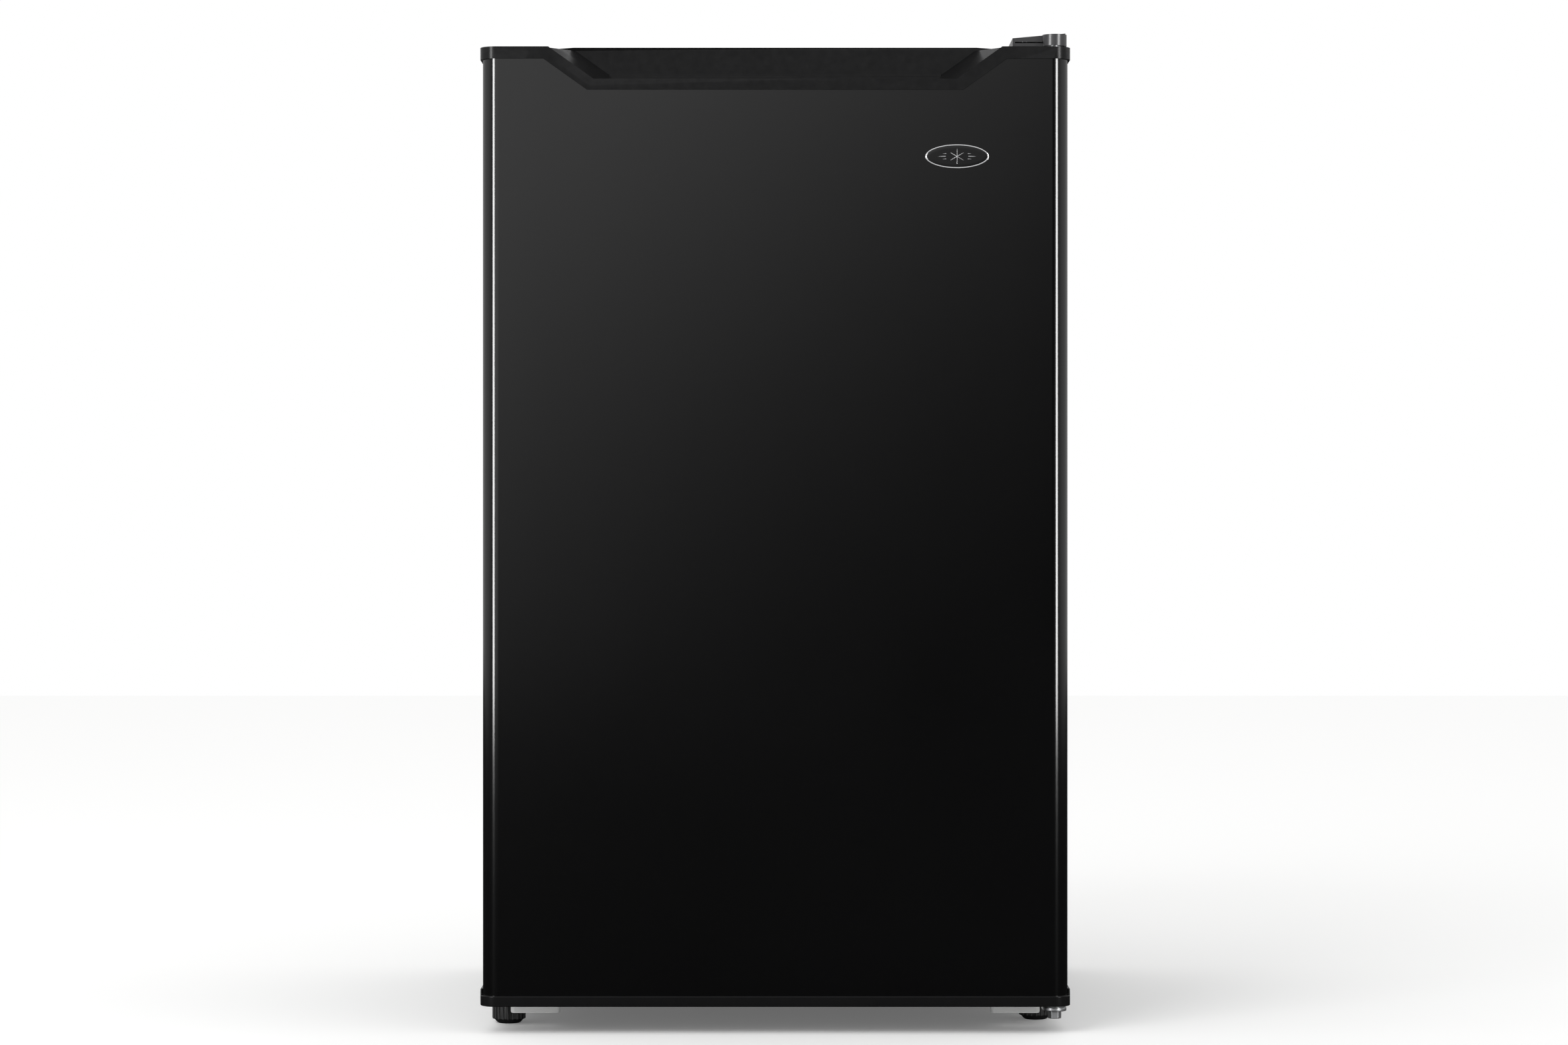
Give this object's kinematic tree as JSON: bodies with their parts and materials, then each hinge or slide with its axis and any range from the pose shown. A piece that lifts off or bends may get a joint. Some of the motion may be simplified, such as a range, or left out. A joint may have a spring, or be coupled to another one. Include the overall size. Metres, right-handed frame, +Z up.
{
  "type": "mini fridge",
  "caption": "Compact free-standing refrigerator with one insulated hinged door, a scooped pull in its top edge, glass shelves, a freezer box, a drawer and a rear condenser.",
  "frame": {"origin": "centre of the footprint, on the floor that the feet rest on", "axes": "+Z up, the door faces -Y, +X to the right of someone who faces the door, where the hinge is"},
  "size_m": [0.495, 0.52, 0.84],
  "materials": {
    "cabinet_paint": "satin",
    "door_paint": "satin",
    "gloss_black": "gloss",
    "hinge_cover_grey": "satin",
    "matte_black": "matte",
    "white_liner": "satin",
    "white_plastic": "satin",
    "frosted_plastic": "satin",
    "clear_plastic": "gloss",
    "shelf_glass": "gloss",
    "foam": "matte",
    "zinc_steel": "satin",
    "badge_metal": "polished",
    "evaporator_aluminium": "satin",
    "copper_pipe": "satin",
    "black_enamel": "gloss",
    "gasket_vinyl": "satin",
    "black_rubber": "matte",
    "red_plastic": "gloss"
  },
  "bodies": {
    "cabinet": {"cabinet_shell": "cabinet_paint", "back_panel": "cabinet_paint", "base_plate": "zinc_steel", "compartment_panel": "zinc_steel", "compressor_deck": "zinc_steel", "cabinet_foam": "foam", "cabinet_liner": "white_liner", "evaporator_box": "evaporator_aluminium", "evaporator_hangers": "white_plastic", "freezer_frame": "white_plastic", "shelf_glass_lower": "shelf_glass", "shelf_trims_lower": "white_plastic", "shelf_glass_upper": "shelf_glass", "shelf_trims_upper": "white_plastic", "drawer_cover": "clear_plastic", "thermostat_housing": "white_plastic", "thermostat_switch": "zinc_steel", "compressor_shell": "black_enamel", "compressor_legs": "black_enamel", "compressor_grommets": "black_rubber", "compressor_bolts": "zinc_steel", "relay_cover": "matte_black", "suction_line": "copper_pipe", "discharge_line": "copper_pipe", "filter_dryer": "copper_pipe", "condenser_tube": "black_enamel", "condenser_drop": "black_enamel", "condenser_wires": "black_enamel", "condenser_brackets": "matte_black", "cord_gland": "matte_black", "top_hinge_bracket": "zinc_steel", "top_hinge_pin": "zinc_steel", "top_hinge_cover": "hinge_cover_grey", "top_hinge_screws": "zinc_steel", "lower_hinge_bracket": "zinc_steel", "lower_hinge_pin": "zinc_steel", "lower_hinge_washers": "zinc_steel", "lower_hinge_screws": "zinc_steel", "hinge_hole_plugs": "matte_black", "base_corner_blocks": "white_plastic", "rear_feet": "matte_black"},
    "door": {"door_skin": "door_paint", "door_top_cap": "gloss_black", "door_bottom_cap": "gloss_black", "door_foam": "foam", "door_liner": "white_liner", "door_gasket": "gasket_vinyl", "door_bin_upper": "clear_plastic", "door_bin_middle": "clear_plastic", "door_bin_lower": "clear_plastic", "door_bushes": "white_plastic", "badge": "badge_metal"},
    "freezer_flap": {"freezer_flap": "frosted_plastic"},
    "drip_tray": {"drip_tray": "frosted_plastic"},
    "crisper": {"crisper_drawer": "clear_plastic"},
    "thermostat_knob": {"thermostat_knob": "white_plastic"},
    "defrost_button": {"defrost_button": "red_plastic"},
    "left_foot": {"front_foot_left": "matte_black", "foot_stud_left": "zinc_steel"},
    "right_foot": {"front_foot_right": "matte_black", "foot_stud_right": "zinc_steel"}
  },
  "joints": [
    {"name": "door_hinge", "type": "hinge", "parent": "cabinet", "child": "door", "pos_m": [0.235, -0.238, 0.424], "axis": [0, 0, 1], "range_deg": [0, 120]},
    {"name": "crisper_slide", "type": "slide", "parent": "cabinet", "child": "crisper", "axis": [0, -1, 0], "range_m": [0, 0.2]},
    {"name": "freezer_flap_hinge", "type": "hinge", "parent": "cabinet", "child": "freezer_flap", "pos_m": [0, -0.052, 0.766], "axis": [-1, 0, 0], "range_deg": [0, 85]},
    {"name": "drip_tray_slide", "type": "slide", "parent": "cabinet", "child": "drip_tray", "axis": [0, -1, 0], "range_m": [0, 0.07]},
    {"name": "thermostat_turn", "type": "hinge", "parent": "cabinet", "child": "thermostat_knob", "pos_m": [0.155, -0.06, 0.6], "axis": [-1, 0, 0], "range_deg": [0, 300]},
    {"name": "defrost_press", "type": "slide", "parent": "thermostat_knob", "child": "defrost_button", "axis": [1, 0, 0], "range_m": [0, 0.003], "stiffness_N_per_m": 400, "springref_m": -0.002},
    {"name": "left_foot_level", "type": "slide", "parent": "cabinet", "child": "left_foot", "axis": [0, 0, -1], "range_m": [0, 0.01]},
    {"name": "right_foot_level", "type": "slide", "parent": "cabinet", "child": "right_foot", "axis": [0, 0, -1], "range_m": [0, 0.01]}
  ],
  "couplings": [
    {"joint": "crisper_slide", "follows": "door_hinge", "m_per_rad": 0.0954}
  ]
}
